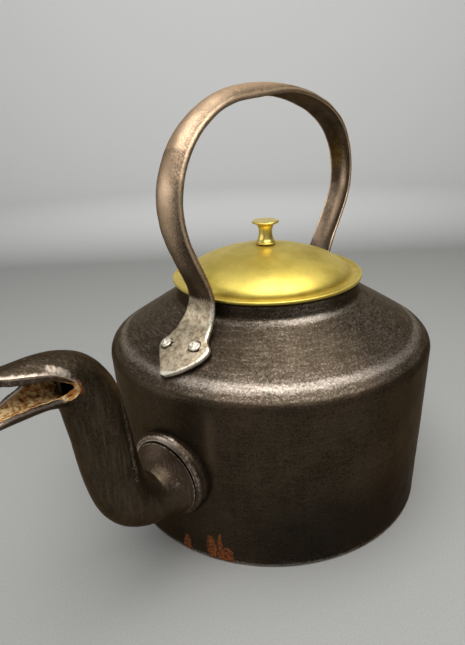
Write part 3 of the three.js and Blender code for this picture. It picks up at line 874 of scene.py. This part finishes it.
def make_collar(material):
    """A bead round the spout's root, with a thin step behind it and a back that follows the round wall."""
    face_x, middle = 114.5, 107.9
    bore, seam = SPIGOT_RADIUS + GAP, 22.9
    lift = face_x - middle
    profile = divided(np.vstack([
        rounded([(bore, -0.4), (26.1, -0.4), (26.1, 0.9, 0.35), (26.4, 1.3)], 3),
        rounded([
            (26.75, 1.5), (26.95, 3.2), (26.0, 5.6, 3), (seam + 0.25, lift, 0.4), (seam, lift - 0.1),
        ], 7),
        [(bore, lift - 0.15)],
    ]), 0.9)
    columns = 144
    angles = np.linspace(0, 2 * math.pi, columns, endpoint=False)
    radius, rise = np.repeat(profile[:, 0], columns), np.repeat(profile[:, 1], columns)
    y = radius * np.cos(np.tile(angles, len(profile)))
    z = SPOUT_ROOT_Z + radius * np.sin(np.tile(angles, len(profile)))
    wall_x = np.sqrt(wall_radius(z) ** 2 - y**2)
    follow = 1 - smoothstep(0.5, lift, rise)
    x = follow * wall_x + (1 - follow) * middle + rise
    faces = grid_faces(len(profile), columns) + band((len(profile) - 1) * columns, 0, columns)
    mesh = new_mesh("spout_collar", np.column_stack([x, y, z]), faces)
    fair_normals(mesh)
    p = coordinates(mesh)
    move_along_normals(mesh, 0.16 * wobble(p, 6, 8.0) - 0.1)
    upper = smoothstep(-12, 14, p[:, 2] - SPOUT_ROOT_Z)
    on_bead = bell(radius, 24.9, 1.7) * (rise > 3)
    # A painted highlight on top of the bead and a painted highlight line by the seam, laid with the bead's
    # wear; a darker line runs along the step at the bead's outer edge.
    polish_and_highlight = np.exp(-(np.linalg.norm(p - [113, 4, 85], axis=1) / 7) ** 2)
    worn = on_bead * (0.33 + 0.22 * upper) + 0.5 * polish_and_highlight + 0.6 * bell(radius, seam + 0.3, 0.35) * upper
    grime = 0.8 * bell(radius, 26.3, 0.2)
    under = bell(np.degrees(np.arctan2(p[:, 2] - SPOUT_ROOT_Z, p[:, 1])), -62, 20)
    rust = on_bead * (0.30 + 0.2 * under)
    mark(mesh, worn=worn, rust=rust, lime=np.zeros(len(p)), mauve=0.8 * on_bead, grime=grime)
    return piece("spout_bead", mesh, material, KETTLE, ["spout_collar"])


# ---- handle

def foot_point(x):
    point, normal = on_cone(x, 0)
    lifted = point + normal * (FOOT_LIFT + FOOT_THICKNESS / 2)
    return lifted[0], lifted[2]


STRAP_PATH = [
    foot_point(FOOT_TIP_X), foot_point(90), foot_point(84), foot_point(79),
    (73.6, 140.6), (70.2, 147.5), (69.3, 155), (70.9, 162.5), (75.2, 171.5), (81.5, 183), (87.6, 196),
    (90.4, 209), (89.3, 221.5), (84, 233.5), (75, 244.8), (61, 254.7), (43, 262.2), (20, 266), (-4, 266.8),
    (-30, 264.9), (-56, 260), (-78, 252.8), (-96, 242.4), (-108, 229), (-114, 213), (-113.2, 197.5),
    (-106, 183.8), (-96, 171.6), (-86, 160), (-79.4, 151.5), (-75.4, 145.4), (-75, 140.4),
    foot_point(-79), foot_point(-84), foot_point(-90), foot_point(-FOOT_TIP_X),
]
# Edges of the strap on its two sides, as (distance from the tip of the foot, Y).
FRONT_LEFT_EDGE = [
    (0, -2.8), (0.5, -0.8), (4.5, 4.6), (9.3, 9.4), (14.5, 13.2), (19, 15.2), (22, 15.4), (24.5, 14.4),
    (26.3, 12), (28.5, 10), (32, 9.4), (40, 8.9), (60, STRAP_HALF_WIDTH),
]
FRONT_RIGHT_EDGE = [
    (0, -6.2), (0.6, -7.2), (3, -8.6), (9.5, -13.6), (13.5, -16.8), (18.8, -20.4), (20.5, -20.9),
    (23, -20.2), (28.5, -17), (31, -15.5), (37, -14.3), (46, -11.5), (54, -9.3), (62, -STRAP_HALF_WIDTH),
]
REAR_EDGE = [
    (0, 2.4), (0.6, 4), (9.5, 10), (19.6, 17), (21.4, 17.2), (24, 15.6), (30, 12.6), (37, 11), (46, 9.4),
    (58, STRAP_HALF_WIDTH),
]
# Small dents: where, how wide and how deep.
STRAP_NICKS = [
    ((69.6, 5.5, 147.5), 0.8, 0.8),
    ((12, 8.4, 266.5), 0.7, 0.7),
    ((5, 8.6, 267.0), 0.6, 0.6),
    ((-108.5, 3.0, 207), 1.0, 0.5),
    ((86.5, -4.0, 190), 0.7, 0.5),
]
# Where a section's points lie between its middle and its edge.
SECTION = [0, 0.16, 0.32, 0.48, 0.62, 0.74, 0.83, 0.90, 0.95, 0.98, 0.995, 1.0]


def section_marks(x, z, from_tip, foot_wear, front, outside, share, from_left, from_right):
    """Marks round one section of the strap: rubbed brown and bright polish, both with painted highlights,
    bare metal and darkening.
    """
    # Rubbed wear on the crown; on the front leg, along the edges and on the rear leg's inner face it is
    # lightened further as painted highlight.
    front_leg = bell(z, 218, 30) * (x > 40)
    top = bell(x, 0, 75) * (z > 238)
    rubbed_and_highlight = outside * (0.20 + 0.74 * front_leg + 0.88 * top) * bell(share, -0.1, 1.1)
    rear_inside = (1 - outside) * bell(share, 0.2, 0.45) * bell(z, 190, 42) * (x < -60)
    edge = bell(np.minimum(from_left, from_right), 0.5, 0.7)
    worn = np.maximum.reduce([rubbed_and_highlight, 0.7 * rear_inside, 0.85 * edge]) * (1 - 0.5 * foot_wear)
    bare = outside * foot_wear * 0.75
    strip = 0.74 * (1 - smoothstep(1.6, 3.2, from_left)) * (1 - 0.8 * bell(from_tip, 27, 1.6))
    tip = 0.9 * (1 - smoothstep(4, 8, from_tip + 0.4 * from_left))
    corner = (1 - smoothstep(2, 3.6, from_right)) * bell(from_tip, 16.5, 3)
    above_foot = 0.62 * bell(from_tip, 48, 8) * bell(share, 0.2, 0.4)
    polish_and_highlight = np.maximum.reduce([strip, tip, corner, above_foot]) * (1 if front else 0.8)
    bright = np.maximum(outside * foot_wear * polish_and_highlight, 0.45 * rear_inside * bell(z, 178, 24))
    grime = (1 - outside) * (1 - smoothstep(34, 46, from_tip)) * (1 - edge)
    return np.array([worn, bare, bright, grime])


def strap_rings():
    """The strap's sections from tip to tip, the marks at their points, and how far each is on a foot."""
    path, direction, at = evenly(catmull_rom(STRAP_PATH), 0.9)
    rows, length = len(path), at[-1]
    x, z = path.T
    front = at < length / 2
    from_tip = np.minimum(at, length - at)
    rear_edge = stations(length - at, REAR_EDGE, 1.0)
    left = np.where(front, stations(at, FRONT_LEFT_EDGE, 1.0), rear_edge)
    right = np.where(front, stations(at, FRONT_RIGHT_EDGE, 1.0), -rear_edge)
    on_foot = 1 - smoothstep(26, 46, from_tip)
    foot_wear = 1 - smoothstep(48, 62, from_tip)
    thickness = 3.2 + (FOOT_THICKNESS - 3.2) * on_foot
    crown = 3.1 * smoothstep(34, 80, from_tip) - 1.1 * bell(z, 200, 22) * (x > 40)
    hollow = 2.8 * bell(x, 18, 32) * (z > 200)
    # Beyond its highest point the strap leans, so that its left edge stands higher than its right.
    lean = blurred(math.radians(11) * smoothstep(12, -58, x) * smoothstep(215, 243, z), 12)
    outward = np.column_stack([direction[:, 1], np.zeros(rows), -direction[:, 0]])
    centre = np.column_stack([x, np.zeros(rows), z])

    fractions = np.array([-f for f in SECTION[:0:-1]] + SECTION)
    outside = np.concatenate([np.ones(len(fractions)), np.zeros(len(fractions) - 2)])
    share = np.concatenate([fractions, fractions[-2:0:-1]])
    rings, marks = [], []
    for i in range(rows):
        half = (left[i] - right[i]) / 2
        y = (left[i] + right[i]) / 2 + half * fractions
        plate = thickness[i] / 2 * (1 - np.abs(fractions) ** max(1.9 * half, 4)) ** 0.42
        bow = (crown[i] + hollow[i]) * (1 - fractions**2) - hollow[i] + y * math.sin(lean[i])
        bow = bow - on_foot[i] * math.sin(CONE_ANGLE) / (2 * FOOT_REACH) * y**2
        across = np.concatenate([y, y[-2:0:-1]])
        offset = np.concatenate([bow + plate, (bow - plate)[-2:0:-1]])
        rings.append(centre[i] + offset[:, None] * outward[i] + across[:, None] * [0, 1, 0])
        marks.append(section_marks(x[i], z[i], from_tip[i], foot_wear[i], front[i], outside, share,
                                   left[i] - across, across - right[i]))
    return rings, np.concatenate(marks, axis=1), on_foot


def make_handle(material):
    """A strap bent over the kettle, crowned outside and hollow inside, that ends in two riveted feet."""
    rings, (worn, bare, bright, grime), on_foot = strap_rings()
    rows, columns = len(rings), len(rings[0])
    faces = grid_faces(rows, columns) + end_faces(rows, columns)
    mesh = new_mesh("handle_strap", np.vstack(rings), faces)
    fair_normals(mesh)
    p = coordinates(mesh)
    hammered = 0.12 * wobble(p, 12, 9.0) + 0.07 * wobble(p, 5, 10.0) + 0.04 * wobble(p, 2.4, 11.0)
    nicks = sum(
        depth * bell(np.linalg.norm(p - place, axis=1), 0, size) for place, size, depth in STRAP_NICKS
    )
    move_along_normals(mesh, (hammered - 0.06) * (1 - 0.4 * np.repeat(on_foot, columns)) - nicks)
    grime = np.maximum(grime, smoothstep(0.15, 0.5, nicks))
    for place in RIVET_PLACES.values():
        seat, normal = on_cone(*place)
        away = p - seat
        height = away @ normal
        beside = np.linalg.norm(away - np.outer(height, normal), axis=1)
        grime = np.maximum(grime, bell(beside, 3.7, 0.6) * (np.abs(height) < 9))
        bright = bright * (1 - bell(beside, 3, 2.5))
    mark(mesh, worn=worn, bare=bare, bright=bright, grime=grime)
    return piece("handle", mesh, material, KETTLE, ["handle_strap"], 60)


def make_rivet(name, place, seed, material):
    """A shank through foot and wall, with a low hammered head outside and a closed head inside."""
    shank, tail = 2.5, 3.9
    head_from = FOOT_LIFT + FOOT_THICKNESS + 0.25
    tail_from = -WALL - GAP
    outline = rounded([
        (0, tail_from - 1.3), (tail, tail_from - 1.2, 0.7), (tail, tail_from), (shank, tail_from),
        (shank, head_from - 0.5), (3.45, head_from - 0.1), (3.3, head_from + 1.25, 0.75),
        (0, head_from + 1.5),
    ], 5)
    vertices, faces = turned(divided(outline, 0.5), 40)
    x, y, height = vertices.T.copy()
    beside = np.hypot(x, y)
    worked = smoothstep(head_from - 0.2, head_from + 0.6, height)
    lean = 0.10 * (x * math.cos(seed) + y * math.sin(seed)) * (beside < 3.3)
    vertices[:, 2] += worked * (0.16 * wobble(vertices, 1.9, seed) - lean - 0.1)
    vertices[:, :2] *= (1 + 0.035 * wobble(vertices, 3.0, seed + 5))[:, None]
    edge = bell(beside, 3.5, 0.35) * smoothstep(head_from + 0.9, head_from, vertices[:, 2])
    seat, normal = on_cone(*place)
    rotation = Vector((0, 0, 1)).rotation_difference(Vector(normal)).to_matrix()
    mesh = new_mesh(name, vertices @ np.array(rotation).T + seat, faces)
    fair_normals(mesh)
    mark(mesh, grime=np.where(vertices[:, 2] > head_from - 1, edge, 0.7))
    return piece(name + "_head", mesh, material, KETTLE, [name])


# ---- lid

def dome_z(radius):
    share = np.clip(np.asarray(radius, float) / LID_CREASE_RADIUS, 0, 1)
    return LID_CREASE_Z + 19.5 * (1 - share**1.42) ** 0.55


WASHER_TOP_Z = float(dome_z(WASHER_RADIUS)) - LID_SHEET - GAP


def make_lid_cover(material):
    """A spun dome with a crease and a flat flange, whose rim is turned down."""
    dome_radii = LID_HOLE + (LID_CREASE_RADIUS - LID_HOLE) * np.sin(np.linspace(0, math.pi / 2, 46))
    dome = np.column_stack([dome_radii, dome_z(dome_radii)])
    flange = rounded([
        (LID_CREASE_RADIUS + 0.6, LID_CREASE_Z - 0.05), (58.2, LID_CREASE_Z),
        (60.8, LID_CREASE_Z + 0.15, 1.5), (61.9, 154.75, 0.7), (63.45, 154.7, 1.0), (63.45, 152.2, 1.2),
        (60.6, 152.3, 0.4), (59.2, 152.7), (LID_CREASE_RADIUS + 1.2, LID_CREASE_Z - LID_SHEET),
    ], 5)
    inset = LID_SHEET * (dome_radii / LID_CREASE_RADIUS) ** 4
    under = (dome - np.column_stack([inset, np.full(len(dome), LID_SHEET)]))[::-1]
    under = under[under[:, 0] > LID_HOLE + 0.4]
    hole_edge = [(LID_HOLE, dome_z(LID_HOLE) - LID_SHEET)]
    mesh = turned_mesh("lid_cover", np.vstack([dome, flange, under, hole_edge]), 1.6, 240)
    p = coordinates(mesh)
    radius = np.hypot(p[:, 0], p[:, 1])
    spun = 0.09 * wobble(p, 24, 12.0) + 0.03 * wobble(p, 8, 13.0)
    move_along_normals(mesh, (spun - 0.03) * smoothstep(4, 12, radius))
    below = p[:, 2] <= dome_z(radius) - LID_SHEET * 0.5
    crease = 0.8 * bell(radius, 56.2, 0.9) * (p[:, 2] > 153.2)
    beneath = 0.45 * (below & (radius < 57))
    centre = bell(radius, 0, 8.5) * 0.5
    mark(mesh, grime=np.maximum.reduce([crease, beneath, centre]))
    return piece("lid_dome", mesh, material, LID, ["lid_cover"])


def make_locating_ring(material):
    """A thin ring under the cover that sits in the neck."""
    outer, inner, bottom, top = 55.1, 54.0, 144.0, LID_CREASE_Z - LID_SHEET - 0.1
    outline = rounded([(inner, top), (inner, bottom, 0.3), (outer, bottom, 0.3), (outer, top)], 3)
    mesh = turned_mesh("lid_ring", outline, 2, 200)
    mark(mesh, grime=0.25 + 0.3 * wobble(coordinates(mesh), 9, 14.0))
    return piece("lid_ring", mesh, material, LID, ["lid_locating_ring"])


def make_knob(material):
    """A waisted neck under a thin disc, on a stud closed over below the washer."""
    stud, foot, disc = 2.6, 6.75, 9.0
    seat = float(dome_z(0)) + GAP
    disc_z = seat + 14.2
    tail = WASHER_TOP_Z - WASHER_THICKNESS - GAP
    mesh = turned_mesh("lid_knob", rounded([
        (0, tail - 1.1), (3.6, tail - 1.0, 0.5), (3.6, tail - 0.1), (stud, tail - 0.1), (stud, seat),
        (foot, seat, 0.2), (foot, seat + 0.55, 0.2), (6.3, seat + 0.8), (6.2, seat + 1.3),
        (5.2, seat + 3.2, 5), (4.5, seat + 6.2, 12), (4.5, seat + 10, 6), (5.7, seat + 12.3, 1.2),
        (8.5, disc_z - 0.75), (disc, disc_z - 0.3, 0.4), (disc, disc_z + 0.3, 0.4),
        (8.2, disc_z + 0.85, 1.5), (0, disc_z + 0.7),
    ], 7), 0.7, 128)
    height = coordinates(mesh)[:, 2] - seat
    # Darker at the step on the foot, and a painted shadow line under the disc.
    mark(mesh, grime=np.maximum(0.7 * bell(height, 1.0, 0.35), 0.75 * bell(height, 12.4, 0.7)))
    return piece("knob", mesh, material, LID, ["lid_knob"])


def make_washer(material):
    top, bottom = WASHER_TOP_Z, WASHER_TOP_Z - WASHER_THICKNESS
    outline = [(LID_HOLE, top), (LID_HOLE, bottom), (WASHER_RADIUS, bottom, 0.3), (WASHER_RADIUS, top)]
    mesh = turned_mesh("knob_washer", rounded(outline, 3), 1, 64)
    mark(mesh, grime=np.full(len(mesh.vertices), 0.4))
    return piece("washer", mesh, material, LID, ["knob_washer"])


# ---- stage, light and camera

def make_stage():
    """A pale floor that sweeps up into a wall far behind, the same all round."""
    floor_radius, bend, height = 1500.0, 900.0, 2600.0
    profile = rounded([(0, 0), (floor_radius + bend, 0, bend), (floor_radius + bend, height)], 24)
    vertices, faces = turned(divided(profile, 150), 96)
    mesh = new_mesh("sweep", vertices, faces)
    mesh.polygons.foreach_set("use_smooth", np.ones(len(mesh.polygons), bool))
    mesh.materials.append(floor_paint())
    sweep = in_scene("sweep", mesh)


def pointing(heading, elevation):
    """The unit vector with a heading from +X and an elevation, both in degrees."""
    a, e = math.radians(heading), math.radians(elevation)
    return Vector((math.cos(a) * math.cos(e), math.sin(a) * math.cos(e), math.sin(e)))


def softbox(name, heading, elevation, distance, size, watts, colour=(1, 1, 1), turned_away=False):
    """An area light in metres, placed by its direction from the kettle's middle.

    It shines on the kettle, or turned away it shines outwards and a little up, on the wall behind.
    """
    middle = Vector((0, 0, 0.12))
    upward_slope = 0.27
    towards = pointing(heading, elevation)
    light = bpy.data.lights.new(name, "AREA")
    light.shape = "RECTANGLE"
    light.size, light.size_y = size
    light.energy = watts
    light.color = colour
    lamp = in_scene(name, light)
    lamp.location = middle + towards * distance
    back = -pointing(heading, 0) - Vector((0, 0, upward_slope)) if turned_away else towards
    lamp.rotation_euler = back.to_track_quat("Z", "Y").to_euler()
    lamp.visible_camera = False


def make_light():
    world = bpy.data.worlds.new("studio")
    world.use_nodes = True
    background = world.node_tree.nodes["Background"]
    background.inputs["Color"].default_value = (1.0, 0.985, 0.965, 1)
    background.inputs["Strength"].default_value = 0.19
    scene = bpy.context.scene
    scene.world = world
    scene.view_settings.view_transform = "Standard"
    softbox("overhead", -70, 76, 1.30, (1.15, 1.0), 3.0)
    softbox("key", 64, 71, 0.66, (0.80, 0.74), 6.9, (1.0, 0.985, 0.96))
    softbox("side", -36, 15, 1.10, (1.1, 0.55), 2.4)
    softbox("backdrop", 216, 70, 0.95, (1.0, 0.5), 60.0, turned_away=True)
    softbox("front_backdrop", 36, 70, 0.95, (1.0, 0.5), 26.0, turned_away=True)


def make_camera():
    """The eye stands in front of the spout, above the kettle, and looks down past its left side."""
    aim, roll = pointing(216.49, -22.23), math.radians(-2.646)
    level = aim.cross(Vector((0, 0, 1))).normalized()
    upright = level.cross(aim)
    right = math.cos(roll) * level + math.sin(roll) * upright
    up = math.cos(roll) * upright - math.sin(roll) * level
    camera = bpy.data.cameras.new("camera")
    camera.lens = 29.72
    camera.sensor_width = 36
    camera.clip_start = 0.01
    eye = in_scene("camera", camera)
    axes = Matrix((right, up, -aim)).transposed().to_4x4()
    eye.matrix_world = Matrix.Translation((0.29401, 0.18700, 0.25963)) @ axes
    bpy.context.scene.camera = eye


# ---- the kettle

make_stage()
make_light()
make_camera()

iron = spout_iron()
make_body(body_iron())
make_spout(iron)
make_collar(iron)
make_handle(handle_iron())
rivets = rivet_iron()
for number, (rivet_name, rivet_place) in enumerate(RIVET_PLACES.items()):
    make_rivet(rivet_name, rivet_place, 20.0 + number, rivets)
brass = lid_brass()
make_lid_cover(brass)
make_locating_ring(brass)
make_knob(knob_brass())
make_washer(brass)
